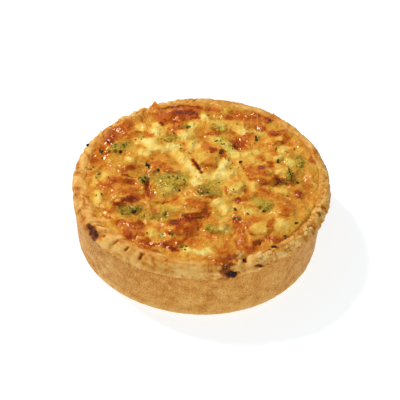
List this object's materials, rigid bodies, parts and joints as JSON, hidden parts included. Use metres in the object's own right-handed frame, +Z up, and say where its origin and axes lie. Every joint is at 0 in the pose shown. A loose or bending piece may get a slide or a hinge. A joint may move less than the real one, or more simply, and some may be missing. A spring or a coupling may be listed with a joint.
{
  "type": "quiche",
  "caption": "Whole deep round quiche: a shortcrust case with a fluted rim, full of browned egg and cheese filling with turkey pieces and broccoli florets.",
  "frame": {"origin": "Under the middle of the rim, on the flat surface that the quiche stands on.", "axes": "+Z is up, out of the filling. -Y is the side nearest the camera of the picture, +X its right."},
  "size_m": [0.1204, 0.1199, 0.0378],
  "materials": {
    "pastry": "matt, fine-grained",
    "baked_filling": "oily, unevenly browned",
    "broccoli": "soft, slightly oily",
    "turkey": "oily, browned"
  },
  "bodies": {
    "root": {"pastry_case": "pastry", "filling": "baked_filling", "broccoli_1": "broccoli", "broccoli_2": "broccoli", "broccoli_3": "broccoli", "broccoli_4": "broccoli", "broccoli_5": "broccoli", "broccoli_6": "broccoli", "broccoli_7": "broccoli", "broccoli_8": "broccoli", "broccoli_9": "broccoli", "broccoli_10": "broccoli", "broccoli_11": "broccoli", "broccoli_12": "broccoli", "turkey_1": "turkey", "turkey_2": "turkey", "turkey_3": "turkey", "turkey_4": "turkey", "turkey_5": "turkey", "turkey_6": "turkey", "turkey_7": "turkey", "turkey_8": "turkey"}
  },
  "joints": []
}
